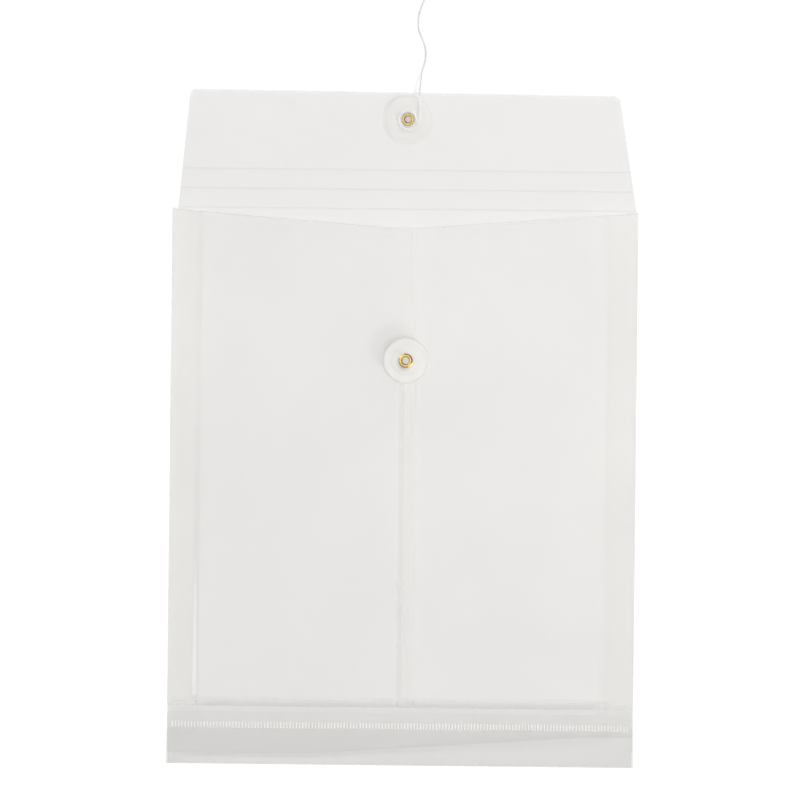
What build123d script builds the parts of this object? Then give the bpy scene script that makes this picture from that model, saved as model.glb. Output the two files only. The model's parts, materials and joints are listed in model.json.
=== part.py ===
from build123d import *

import os
from math import asin, atan, cos, hypot, pi, radians, sin, sqrt, tan

os.makedirs("parts", exist_ok=True)

# A string tie envelope of clear film, open, lying on its front with the closure side up.
# X runs across it, Y up to the flap, Z up. Lengths are in millimetres and angles in degrees.

# Film and folds
film = 0.3
fold_gap = 0.05
cut_overrun = 5.0

# Pocket
pocket_width = 246.0
front_height = 294.8
gusset_leaf = 16.25
rest_angle = 12.0
flattest_angle = 3.0
leaf_trim = 0.5
mouth_setback = 1.2
mouth_shoulder = 2.4
mouth_dip = 10.6
mouth_round = 160.0

# Centre seam
lap_left = -1.3
lap_width = 7.3
lap_ramp = 1.2

# Bottom
bottom_flap_height = 28.8
bottom_flap_overhang = 0.9
bottom_flap_narrowing = 0.8
tail_start = 6.0
weld_height = 21.9
weld_stroke_length = 3.4
weld_stroke_width = 0.75
weld_pitch = 1.69
weld_depth = 0.12

# Flap
flap_height = 61.7
strip_height = 10.3
flap_base_width = 243.0
flap_tip_width = 227.0
flap_corner = 3.0

# Discs and eyelets
closure_x = 1.0
flap_closure_height = 47.6
body_closure_drop = 80.3
disc_diameter = 24.0
disc_web = 0.8
disc_rim = 1.05
rim_width = 3.2
land_diameter = 14.8
edge_round = 0.3
hub_diameter = 6.8
hub_height = 1.5
barrel_diameter = 4.4
eyelet_bore = 3.4
head_diameter = 7.6
head_height = 0.7
clinch_diameter = 6.6
clinch_height = 0.6
lip_round = 0.4
running_gap = 0.1
running_clearance = 0.05

# String
string_diameter = 1.2
string_gap = 0.45
loop_clearance = 0.25
loop_lift = 0.1
string_lead = 12.0
corner_run_share = 0.45
coil_lead = 4.0
coil_radius = 8.3
coil_step = 0.85
coil_halves = 4
coil_samples = 900
tie_film = 0.3
tie_width = 2.2
tie_clearance = 0.1
tie_round = 0.6

# Route of the string on the table: x, height over the throat fold, lift of its middle
string_points = [
    (8.2, 72.6, 0.15),
    (10.7, 80.6, 0),
    (9.6, 87.8, 0),
    (6.1, 95.0, 0),
    (5.9, 102.0, 0),
    (8.3, 108.6, 0),
    (10.4, 114.2, 0.1),
]
coil_entry = (11.0, 122.6)

# Places that follow from the sizes above
half_width = pocket_width / 2
bottom_depth = 2 * gusset_leaf
rest_sin = sin(radians(rest_angle))
rest_cos = cos(radians(rest_angle))
back_z = film + bottom_depth * rest_sin + 2 * film * rest_cos
lap_right = lap_left + lap_width
hub_top = running_gap + hub_height
head_seat = hub_top + disc_rim + running_gap
stack_height = head_seat + head_height

# The open flap leans on the head of its eyelet, so its tilt follows from the stack under it.
lean_reach = flap_closure_height - head_diameter / 2
lean_span = hypot(lean_reach, film + stack_height)
flap_tilt = asin((stack_height + film) / lean_span) - asin(film / lean_span)
flap_reach = flap_height * cos(flap_tilt) + film * sin(flap_tilt)

# The origin is the middle of the open envelope's floor plan.
bottom_y = -(front_height + flap_reach) / 2
throat_y = bottom_y + front_height
crease_y = bottom_y + bottom_depth * rest_cos - 2 * film * rest_sin

# The bottom leans a little more than the gusset leaves, by the plies that lie between.
crease_reach = hypot(bottom_depth, 2 * film)
bottom_lean = radians(rest_angle) + atan(2 * film / bottom_depth) + asin(film / crease_reach)
crease_along = sqrt(crease_reach**2 - film**2)

bottom_plane = Plane(
    origin=(0, bottom_y, film),
    x_dir=(1, 0, 0),
    z_dir=(0, -sin(bottom_lean), cos(bottom_lean)),
)
flap_plane = Plane(
    origin=(0, throat_y, film),
    x_dir=(1, 0, 0),
    z_dir=(0, -sin(flap_tilt), cos(flap_tilt)),
)
front_leaf_plane = Plane(
    origin=(-half_width, 0, film),
    x_dir=(rest_cos, 0, rest_sin),
    z_dir=(-rest_sin, 0, rest_cos),
)
back_leaf_plane = Plane(
    origin=(-half_width, 0, back_z),
    x_dir=(rest_cos, 0, -rest_sin),
    z_dir=(rest_sin, 0, rest_cos),
)

# Seats of the discs: the origin on the film's outer face, the axis pointing out of it.
body_seat = Plane(
    origin=(closure_x, throat_y - body_closure_drop, back_z + 2 * film),
    x_dir=(1, 0, 0),
    z_dir=(0, 0, 1),
)
flap_seat = Plane(
    origin=flap_plane.from_local_coords((closure_x, flap_closure_height, -film)),
    x_dir=(1, 0, 0),
    z_dir=-flap_plane.z_dir,
)


def save(built, name):
    """Label a finished piece and write it under its own name."""
    built.part.label = name
    export_step(built.part, f"parts/{name}.step")


def flap_half_width(height):
    """Half the flap's width at a height above the throat fold."""
    return (flap_base_width - (flap_base_width - flap_tip_width) * height / flap_height) / 2


def flap_outline(low, high):
    """Corners of the stretch of the flap between two heights."""
    return [
        (-flap_half_width(low), low),
        (flap_half_width(low), low),
        (flap_half_width(high), high),
        (-flap_half_width(high), high),
    ]


def leaf_trim_height(along):
    """Height over the bottom fold that a front leaf starts at, clear of the flattened bottom."""
    flat_sin = sin(radians(flattest_angle))
    plies = 3 * film / bottom_depth
    return (2 * film + along * flat_sin) / (flat_sin + plies) + leaf_trim


# Front panel, flat on the table
with BuildPart() as front_panel:
    with BuildSketch(Plane.XY):
        with Locations((0, bottom_y + front_height / 2)):
            Rectangle(pocket_width - 2 * fold_gap, front_height - 2 * fold_gap)
    extrude(amount=film)
save(front_panel, "front_panel")

# Outline of the closure side: a shallow V at the mouth with a rounded middle
mouth_y = throat_y - mouth_setback
shoulder_x = half_width - gusset_leaf
with BuildSketch(Plane.XY.offset(back_z)) as back_outline:
    with BuildLine():
        Polyline(
            (-half_width + fold_gap, crease_y + fold_gap),
            (half_width - fold_gap, crease_y + fold_gap),
            (half_width - fold_gap, mouth_y),
            (shoulder_x, throat_y - mouth_shoulder),
            (0, throat_y - mouth_dip),
            (-shoulder_x, throat_y - mouth_shoulder),
            (-half_width + fold_gap, mouth_y),
            close=True,
        )
    make_face()
    middle = back_outline.vertices().filter_by(lambda v: abs(v.X) < fold_gap)
    fillet(middle, radius=mouth_round)

back_length = throat_y - crease_y
back_middle_y = crease_y + back_length / 2

# Left half of the back, which runs under the seam
with BuildPart() as back_left_half:
    with BuildSketch(Plane.XY.offset(back_z)):
        add(back_outline.sketch_local)
        with Locations(((lap_right - half_width) / 2, back_middle_y)):
            Rectangle(lap_right + half_width, back_length + cut_overrun, mode=Mode.INTERSECT)
    extrude(amount=film)
    with Locations(body_seat):
        Hole(barrel_diameter / 2 + running_clearance)
save(back_left_half, "back_left_half")

# Right half of the back, stepped up over the left one along the seam
with BuildPart() as back_right_half:
    with BuildSketch(Plane.XZ.offset(-throat_y)):
        with BuildLine():
            Polyline(
                (half_width - fold_gap, back_z),
                (lap_right + lap_ramp, back_z),
                (lap_right + fold_gap, back_z + film),
                (lap_left, back_z + film),
                (lap_left, back_z + 2 * film),
                (lap_right + fold_gap, back_z + 2 * film),
                (lap_right + lap_ramp, back_z + film),
                (half_width - fold_gap, back_z + film),
                close=True,
            )
        make_face()
    extrude(amount=back_length)
    with BuildSketch(Plane.XY.offset(back_z)):
        add(back_outline.sketch_local)
    extrude(amount=2 * film, mode=Mode.INTERSECT)
    with Locations(body_seat):
        Hole(barrel_diameter / 2 + running_clearance)
save(back_right_half, "back_right_half")

# Gusset leaves: the front pair folds up from the front panel, the back pair down from the back
leaf_end = gusset_leaf - 2 * fold_gap
with BuildPart() as left_gusset_front_leaf:
    with BuildSketch(front_leaf_plane):
        with BuildLine():
            Polyline(
                (fold_gap, bottom_y + leaf_trim_height(0)),
                (leaf_end, bottom_y + leaf_trim_height(leaf_end)),
                (leaf_end, throat_y - mouth_shoulder),
                (fold_gap, throat_y - fold_gap),
                close=True,
            )
        make_face()
    extrude(amount=film)
save(left_gusset_front_leaf, "left_gusset_front_leaf")

with BuildPart() as left_gusset_back_leaf:
    with BuildSketch(back_leaf_plane):
        with BuildLine():
            Polyline(
                (fold_gap, crease_y + fold_gap),
                (leaf_end, crease_y + fold_gap),
                (leaf_end, throat_y - mouth_shoulder),
                (fold_gap, mouth_y),
                close=True,
            )
        make_face()
    extrude(amount=-film)
save(left_gusset_back_leaf, "left_gusset_back_leaf")

with BuildPart() as right_gusset_front_leaf:
    mirror(left_gusset_front_leaf.part, about=Plane.YZ)
save(right_gusset_front_leaf, "right_gusset_front_leaf")

with BuildPart() as right_gusset_back_leaf:
    mirror(left_gusset_back_leaf.part, about=Plane.YZ)
save(right_gusset_back_leaf, "right_gusset_back_leaf")

# Bottom: the tail of the back inside, the front's folded end welded over it
with BuildPart() as bottom_tail:
    with BuildSketch(bottom_plane):
        with Locations((0, (tail_start + crease_along - fold_gap) / 2)):
            Rectangle(pocket_width - 2 * fold_gap, crease_along - fold_gap - tail_start)
    extrude(amount=-film)
save(bottom_tail, "bottom_tail")

fold_half = half_width + bottom_flap_overhang
edge_half = fold_half - bottom_flap_narrowing
weld_count = int((2 * edge_half - weld_pitch) / weld_pitch)
with BuildPart() as bottom_flap:
    with BuildSketch(bottom_plane):
        with BuildLine():
            Polyline(
                (-fold_half, fold_gap),
                (fold_half, fold_gap),
                (edge_half, bottom_flap_height),
                (-edge_half, bottom_flap_height),
                close=True,
            )
        make_face()
    extrude(amount=film)
    with BuildSketch(bottom_plane.offset(film)):
        with Locations((0, weld_height)):
            with GridLocations(weld_pitch, weld_stroke_length, weld_count, 1):
                Rectangle(weld_stroke_width, weld_stroke_length)
    extrude(amount=-weld_depth, mode=Mode.SUBTRACT)
save(bottom_flap, "bottom_flap")

# Flap: two narrow strips between the score lines, then the flap itself
strips = {
    "throat_strip_lower": (fold_gap, strip_height - fold_gap),
    "throat_strip_upper": (strip_height + fold_gap, 2 * strip_height - fold_gap),
}
for strip_name, (strip_low, strip_high) in strips.items():
    with BuildPart() as throat_strip:
        with BuildSketch(flap_plane):
            with BuildLine():
                Polyline(*flap_outline(strip_low, strip_high), close=True)
            make_face()
        extrude(amount=-film)
    save(throat_strip, strip_name)

with BuildPart() as flap_panel:
    with BuildSketch(flap_plane):
        with BuildLine():
            Polyline(*flap_outline(2 * strip_height + fold_gap, flap_height), close=True)
        make_face()
    extrude(amount=-film)
    through_edges = flap_panel.edges().filter_by(Axis(flap_plane.origin, flap_plane.z_dir))
    fillet(through_edges.sort_by(Axis.Y)[-2:], radius=flap_corner)
    with Locations(flap_seat):
        Hole(barrel_diameter / 2 + running_clearance)
save(flap_panel, "flap_panel")


def profile_plane(seat):
    """Plane through a seat's axis: radius along its x, height over the film along its y."""
    return Plane(origin=seat.origin, x_dir=seat.x_dir, z_dir=-seat.y_dir)


# Discs: a hub that the string winds round, a thin web, a middle land and a rim
for disc_name, seat in {"body_disc": body_seat, "flap_disc": flap_seat}.items():
    disc_bore = barrel_diameter / 2 + running_clearance
    rim_inside = disc_diameter / 2 - rim_width
    with BuildPart() as disc:
        with BuildSketch(profile_plane(seat)):
            with BuildLine():
                Polyline(
                    (disc_bore, running_gap),
                    (hub_diameter / 2, running_gap),
                    (hub_diameter / 2, hub_top),
                    (disc_diameter / 2, hub_top),
                    (disc_diameter / 2, hub_top + disc_rim),
                    (rim_inside, hub_top + disc_rim),
                    (rim_inside - edge_round, hub_top + disc_web),
                    (land_diameter / 2 + edge_round, hub_top + disc_web),
                    (land_diameter / 2, hub_top + disc_rim),
                    (disc_bore, hub_top + disc_rim),
                    close=True,
                )
            make_face()
        revolve(axis=Axis(seat.origin, seat.z_dir))
        fillet(disc.edges().filter_by(GeomType.CIRCLE).sort_by(SortBy.RADIUS)[-2:], radius=edge_round)
    save(disc, disc_name)

# Eyelets: a barrel through film and disc, a domed head over the disc, a rolled clinch inside
for eyelet_name, seat, grip in (
    ("body_eyelet", body_seat, 2 * film),
    ("flap_eyelet", flap_seat, film),
):
    with BuildPart() as eyelet:
        with BuildSketch(profile_plane(seat)):
            with BuildLine():
                Polyline(
                    (eyelet_bore / 2, -grip - clinch_height),
                    (clinch_diameter / 2, -grip - clinch_height),
                    (clinch_diameter / 2, -grip),
                    (barrel_diameter / 2, -grip),
                    (barrel_diameter / 2, head_seat),
                    (head_diameter / 2, head_seat),
                    (head_diameter / 2, stack_height),
                    (eyelet_bore / 2, stack_height),
                    close=True,
                )
            make_face()
        revolve(axis=Axis(seat.origin, seat.z_dir))
        outer = eyelet.faces().sort_by(Axis(seat.origin, seat.z_dir))
        fillet(outer[0].edges() + outer[-1].edges(), radius=lip_round)
    save(eyelet, eyelet_name)

# String: one turn round the hub of the flap disc, in quarter arcs that open out
string_radius = string_diameter / 2
string_pitch = string_diameter + string_gap
loop_radius = hub_diameter / 2 + loop_clearance + string_radius
loop_depth = film + loop_lift + string_radius
loop_plane = Plane(
    origin=flap_plane.from_local_coords((closure_x, flap_closure_height, -loop_depth)),
    x_dir=(1, 0, 0),
    z_dir=flap_plane.z_dir,
)
quarter_step = string_pitch / 4
with BuildPart() as string_loop:
    with BuildLine(loop_plane):
        Line((loop_radius, -string_diameter), (loop_radius, 0))
        arc_start = Vector(loop_radius, 0)
        heading = Vector(0, 1)
        for quarter in range(4):
            arc_radius = loop_radius + (quarter + 1) * quarter_step
            inward = Vector(-heading.Y, heading.X)
            arc_middle = arc_start + inward * arc_radius
            arc_bulge = arc_middle + (heading - inward).normalized() * arc_radius
            arc_end = arc_middle + heading * arc_radius
            ThreePointArc(tuple(arc_start), tuple(arc_bulge), tuple(arc_end))
            arc_start = arc_end
            heading = inward
        loop_exit = arc_end + heading * string_diameter
        Line(tuple(arc_end), tuple(loop_exit))
    loop_start = loop_plane.from_local_coords((loop_radius, -string_diameter, 0))
    with BuildSketch(Plane(origin=loop_start, z_dir=loop_plane.y_dir)):
        Circle(string_radius)
    sweep()
save(string_loop, "string_loop")

# String: the free run, from under the flap down to the table and along it
run_start = loop_plane.from_local_coords(loop_exit)
run_lead = loop_plane.from_local_coords(loop_exit + heading * string_lead)
coil_z = tie_film + tie_clearance + string_radius
route = [run_start, run_lead]
for x, over_throat, lift in string_points:
    route.append(Vector(x, throat_y + over_throat, string_radius + lift))
coil_x, coil_over_throat = coil_entry
route.append(Vector(coil_x, throat_y + coil_over_throat - coil_lead, coil_z))
route.append(Vector(coil_x, throat_y + coil_over_throat, coil_z))

route_radii = []
for before, corner, after in zip(route, route[1:], route[2:]):
    shorter_run = min((corner - before).length, (after - corner).length)
    turn = radians((corner - before).get_angle(after - corner))
    route_radii.append(corner_run_share * shorter_run / tan(turn / 2))
print("string run radii", [round(radius, 1) for radius in route_radii])

with BuildPart() as string_run:
    with BuildLine() as run_path:
        FilletPolyline(*route, radius=route_radii)
    with BuildSketch(Plane(origin=run_start, z_dir=run_lead - run_start)):
        Circle(string_radius)
    sweep()
run_length = run_path.wire().length
run_section = pi * string_radius**2
print("string run length", round(run_length, 1))
print("volume over section times length", round(string_run.part.volume / run_section / run_length, 4))
save(string_run, "string_run")

# String: the put-away length, spiralled in on the lower layer and out again on the upper one
inward_radii = [coil_radius - coil_step * half for half in range(coil_halves)]
coil_start = route[-1]
with BuildPart() as string_coil:
    with BuildLine() as coil_path:
        half_start = coil_start + Vector(0, string_diameter)
        Line(coil_start, half_start)
        heading = Vector(0, 1)
        turn_in = coil_radius - coil_step * coil_halves
        for half_radius in [*inward_radii, turn_in, *reversed(inward_radii)]:
            climb = string_pitch if half_radius == turn_in else 0
            climb_angle = asin(climb / 2 / half_radius)
            across = Vector(-heading.Y * cos(climb_angle), 0, sin(climb_angle))
            half_middle = half_start + across * half_radius
            half_end = half_start + across * 2 * half_radius
            ThreePointArc(half_start, half_middle + heading * half_radius, half_end)
            half_start = half_end
            heading = -heading
        Line(half_end, half_end + heading * string_diameter)
    with BuildSketch(Plane(origin=coil_start, z_dir=(0, 1, 0))):
        Circle(string_radius)
    sweep()
save(string_coil, "string_coil")

coil_wire = coil_path.wire()
coil_points = [coil_wire @ (step / coil_samples) for step in range(coil_samples + 1)]
apart = int(coil_samples * 3 * string_diameter / coil_wire.length)
nearest = min(
    (point - other).length
    for index, point in enumerate(coil_points)
    for other in coil_points[index + apart :]
)
print("coil length", round(coil_wire.length, 1), "least gap", round(nearest - string_diameter, 3))

# Tie: a flat band round the turns at the far side of the coil
turns_middle_y = coil_start.Y + string_diameter + (coil_radius + turn_in) / 2
turns_middle_z = coil_z + string_pitch / 2
turns_width = coil_radius - turn_in + string_diameter + 4 * tie_clearance
turns_height = string_pitch + string_diameter + 2 * tie_clearance
tie_plane = Plane(
    origin=(coil_start.X - coil_radius, turns_middle_y, turns_middle_z),
    x_dir=(0, 1, 0),
    z_dir=(1, 0, 0),
)
with BuildPart() as string_coil_tie:
    with BuildSketch(tie_plane):
        RectangleRounded(turns_width + 2 * tie_film, turns_height + 2 * tie_film, tie_round + tie_film)
        RectangleRounded(turns_width, turns_height, tie_round, mode=Mode.SUBTRACT)
    extrude(amount=tie_width / 2, both=True)
save(string_coil_tie, "string_coil_tie")
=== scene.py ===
"""Looks of a string tie envelope of clear film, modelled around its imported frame. Lengths are in metres."""

import json
import math

import bmesh
import bpy
from bpy.props import FloatProperty, FloatVectorProperty, IntProperty, PointerProperty
from mathutils import Matrix, Vector, noise

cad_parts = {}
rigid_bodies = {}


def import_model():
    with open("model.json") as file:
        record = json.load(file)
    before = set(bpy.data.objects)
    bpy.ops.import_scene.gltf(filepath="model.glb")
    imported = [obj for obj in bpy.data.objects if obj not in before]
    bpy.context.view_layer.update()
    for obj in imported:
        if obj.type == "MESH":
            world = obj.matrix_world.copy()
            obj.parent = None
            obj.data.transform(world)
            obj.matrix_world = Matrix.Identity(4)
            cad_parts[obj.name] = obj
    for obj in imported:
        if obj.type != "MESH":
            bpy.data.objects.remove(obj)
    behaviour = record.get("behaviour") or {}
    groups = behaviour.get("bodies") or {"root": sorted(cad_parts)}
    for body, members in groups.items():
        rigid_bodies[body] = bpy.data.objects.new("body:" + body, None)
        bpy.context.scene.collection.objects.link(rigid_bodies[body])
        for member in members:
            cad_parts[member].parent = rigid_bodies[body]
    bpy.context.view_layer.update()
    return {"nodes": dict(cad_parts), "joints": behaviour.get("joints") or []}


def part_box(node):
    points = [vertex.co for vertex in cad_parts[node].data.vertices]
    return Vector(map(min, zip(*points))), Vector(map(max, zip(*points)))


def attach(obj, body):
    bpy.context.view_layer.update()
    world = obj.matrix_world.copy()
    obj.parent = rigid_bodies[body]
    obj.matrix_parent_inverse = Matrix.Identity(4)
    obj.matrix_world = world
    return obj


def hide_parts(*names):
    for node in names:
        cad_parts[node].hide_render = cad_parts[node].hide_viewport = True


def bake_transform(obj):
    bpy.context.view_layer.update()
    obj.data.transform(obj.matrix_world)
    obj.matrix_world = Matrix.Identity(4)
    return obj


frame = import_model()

bl_info = {
    "name": "String Tie Envelope",
    "version": (1, 0, 0),
    "blender": (4, 5, 0),
    "location": "3D View > Sidebar > Envelope",
    "description": "Builds the film, closure, string and stage of a string tie envelope",
    "category": "Object",
}

JOINTS = {joint["name"]: joint for joint in frame["joints"]}
SHARP_ANGLE = math.radians(40)
FILM_STEP = 0.003
TIE_DISCS = ("body_tie_disc", "flap_tie_disc")


def joint_place(name):
    """Point on a joint's axis at rest."""
    return Vector(JOINTS[name]["pos_m"])


# Places that the frame gives: the film, its fold lines and the planes of its plates
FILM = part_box("front_panel")[1].z
BOTTOM_FOLD = joint_place("bottom_fold")
BOTTOM_CREASE = joint_place("bottom_crease")
THROAT_FOLD = joint_place("throat_fold")
MIDDLE_FOLD = joint_place("middle_fold")
UPPER_FOLD = joint_place("upper_fold")
HALF_WIDTH = joint_place("right_front_fold").x
BACK_Z = BOTTOM_CREASE.z
BODY_SEAT = joint_place("body_disc_spin")
FLAP_SEAT = joint_place("flap_disc_spin")
STRIP_HEIGHT = (MIDDLE_FOLD - THROAT_FOLD).length

# Film where two plies lie close or a fold is drawn thin
PLY_GAP = FILM / 6
FOLD_FILM = FILM * 0.9


def turned_about_x(origin, angle):
    """Frame with its origin there, its y leaning up from the table by an angle."""
    return Matrix.Translation(origin) @ Matrix.Rotation(angle, 4, "X")


def flap_frame():
    """Frame of the open flap: origin on the throat fold, y towards its tip, z out of its upper face."""
    rise = UPPER_FOLD - THROAT_FOLD
    return turned_about_x(THROAT_FOLD, math.atan2(rise.z, rise.y))


def bottom_frame():
    """Frame of the bottom, between its two plies: origin on the fold, y up to the crease, z out of it."""
    rise = BOTTOM_CREASE - BOTTOM_FOLD
    ply = math.asin(FILM / math.hypot(rise.y, rise.z))
    return turned_about_x(BOTTOM_FOLD, math.atan2(rise.z, rise.y) + ply)


def seat_frame(joint):
    """Frame of a disc's seat: origin on the film, z along the axis of the disc."""
    axis = Vector(JOINTS[joint]["axis"]).normalized()
    side = Vector((1, 0, 0))
    turn = Matrix((side, axis.cross(side), axis)).transposed().to_4x4()
    return Matrix.Translation(joint_place(joint)) @ turn


class FilmSettings(bpy.types.PropertyGroup):
    """Sizes and finish of the film."""

    tint: FloatVectorProperty(
        name="Tint", description="Colour of the film", subtype="COLOR", size=3, min=0, max=1,
        default=(0.735, 0.726, 0.711),
    )
    haze: FloatProperty(
        name="Haze", description="How much each face of the film hides what is behind it",
        subtype="FACTOR", min=0, max=1, default=0.36,
    )
    roughness: FloatProperty(
        name="Roughness", description="Roughness of the film's gloss", subtype="FACTOR", min=0, max=1,
        default=0.34,
    )
    gusset_leaf: FloatProperty(
        name="Gusset leaf", description="Depth of each gusset leaf", unit="LENGTH", default=0.01625,
    )
    ripple: FloatProperty(
        name="Ripple", description="Height of the slow waves in the closure side", unit="LENGTH",
        default=0.0006,
    )
    sag: FloatProperty(
        name="Sag", description="How far the middle of the closure side sinks", unit="LENGTH",
        default=0.0008,
    )
    fold_half: FloatProperty(
        name="Fold half width", description="Half the width of a scored fold line", unit="LENGTH",
        default=0.0006,
    )
    fold_depth: FloatProperty(
        name="Fold depth", description="Depth of a scored fold line", unit="LENGTH", default=0.00006,
    )
    # The dulled film over the crease is a painted shade: the film is drawn darker there.
    crease_band: FloatProperty(
        name="Crease band", description="Height of the dulled film over the bottom crease", unit="LENGTH",
        default=0.0048,
    )
    pillow: FloatProperty(
        name="Pillow", description="How far the closure side swells between the gussets", unit="LENGTH",
        default=0.0008,
    )
    pillow_foot: FloatProperty(
        name="Pillow foot", description="Height over the bottom crease at which the swelling is full",
        unit="LENGTH", default=0.0055,
    )
    pillow_edge: FloatProperty(
        name="Pillow edge", description="Width of the swelling's two sides", unit="LENGTH", default=0.0045,
    )
    pillow_left: FloatProperty(
        name="Pillow left", description="How far the swelling reaches to the left", unit="LENGTH",
        default=0.111,
    )
    pillow_right: FloatProperty(
        name="Pillow right", description="How far the swelling reaches to the right", unit="LENGTH",
        default=0.108,
    )


class FlapSettings(bpy.types.PropertyGroup):
    """Outline of the flap."""

    height: FloatProperty(
        name="Height", description="Height of the flap over the throat fold", unit="LENGTH", default=0.0617,
    )
    base_width: FloatProperty(
        name="Base width", description="Width of the flap at the throat fold", unit="LENGTH", default=0.243,
    )
    tip_width: FloatProperty(
        name="Tip width", description="Width of the flap at its tip", unit="LENGTH", default=0.227,
    )
    corner: FloatProperty(
        name="Corner", description="Radius of the flap's two corners", unit="LENGTH", default=0.003,
    )
    base_shift: FloatProperty(
        name="Base shift", description="How far the flap's base is cut to the right", unit="LENGTH",
        default=0.001,
    )
    tip_shift: FloatProperty(
        name="Tip shift", description="How far the flap's tip is cut to the right", unit="LENGTH",
        default=-0.0008,
    )
    tip_slope: FloatProperty(
        name="Tip slope", description="Slope of the flap's tip, down to the right", default=0.007,
    )
    print_height: FloatProperty(
        name="Print height", description="How far the disc's rim stands out through the flap", unit="LENGTH",
        default=0.0004,
    )
    print_edge: FloatProperty(
        name="Print edge", description="Width of the slope round the disc's print", unit="LENGTH",
        default=0.002,
    )


class PocketSettings(bpy.types.PropertyGroup):
    """Mouth, seam and bottom of the pocket."""

    mouth_side: FloatProperty(
        name="Mouth side", description="Drop of the mouth at its two sides", unit="LENGTH", default=0.0012,
    )
    mouth_shoulder: FloatProperty(
        name="Mouth shoulder", description="Drop of the mouth at the gussets' inner folds",
        unit="LENGTH", default=0.0024,
    )
    mouth_dip: FloatProperty(
        name="Mouth dip", description="Drop of the mouth in its middle", unit="LENGTH", default=0.0106,
    )
    mouth_round: FloatProperty(
        name="Mouth round", description="Half the width of the round in the middle of the mouth",
        unit="LENGTH", default=0.0123,
    )
    mouth_reach: FloatProperty(
        name="Mouth reach", description="How far below the throat the film follows the mouth's line",
        unit="LENGTH", default=0.04,
    )
    leaf_slant: FloatProperty(
        name="Leaf slant", description="How much higher a front leaf's foot is at its inner fold",
        unit="LENGTH", default=0.0106,
    )
    lap_left: FloatProperty(
        name="Lap left", description="Free edge of the upper ply at the seam", unit="LENGTH", default=-0.0013,
    )
    lap_right: FloatProperty(
        name="Lap right", description="Hidden edge of the lower ply at the seam", unit="LENGTH",
        default=0.006,
    )
    lap_ramp: FloatProperty(
        name="Lap ramp", description="Width of the step at the seam", unit="LENGTH", default=0.0012,
    )
    seam_line_half: FloatProperty(
        name="Seam line", description="Half the width of a raised line along the seam", unit="LENGTH",
        default=0.0006,
    )
    seam_line_height: FloatProperty(
        name="Seam line height", description="Height of a raised line along the seam", unit="LENGTH",
        default=0.00007,
    )
    bottom_height: FloatProperty(
        name="Bottom height", description="Height of the folded bottom flap", unit="LENGTH", default=0.0288,
    )
    bottom_overhang: FloatProperty(
        name="Bottom overhang", description="How far the bottom flap stands out at its fold",
        unit="LENGTH", default=0.0009,
    )
    bottom_narrowing: FloatProperty(
        name="Bottom narrowing", description="How much narrower each side of the bottom flap's edge is",
        unit="LENGTH", default=0.0008,
    )
    tail_start: FloatProperty(
        name="Tail start", description="Lower edge of the inner ply of the bottom", unit="LENGTH",
        default=0.006,
    )
    tail_rise: FloatProperty(
        name="Tail rise", description="How much higher the inner ply's lower edge is at the right",
        unit="LENGTH", default=0.0105,
    )
    weld_height: FloatProperty(
        name="Weld height", description="Height of the row of weld strokes", unit="LENGTH", default=0.0219,
    )
    weld_length: FloatProperty(
        name="Weld length", description="Length of a weld stroke", unit="LENGTH", default=0.0034,
    )
    weld_width: FloatProperty(
        name="Weld width", description="Width of a weld stroke", unit="LENGTH", default=0.0009,
    )
    weld_pitch: FloatProperty(
        name="Weld pitch", description="Distance between weld strokes", unit="LENGTH", default=0.00169,
    )
    weld_depth: FloatProperty(
        name="Weld depth", description="Depth of a weld stroke", unit="LENGTH", default=0.00008,
    )


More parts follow.
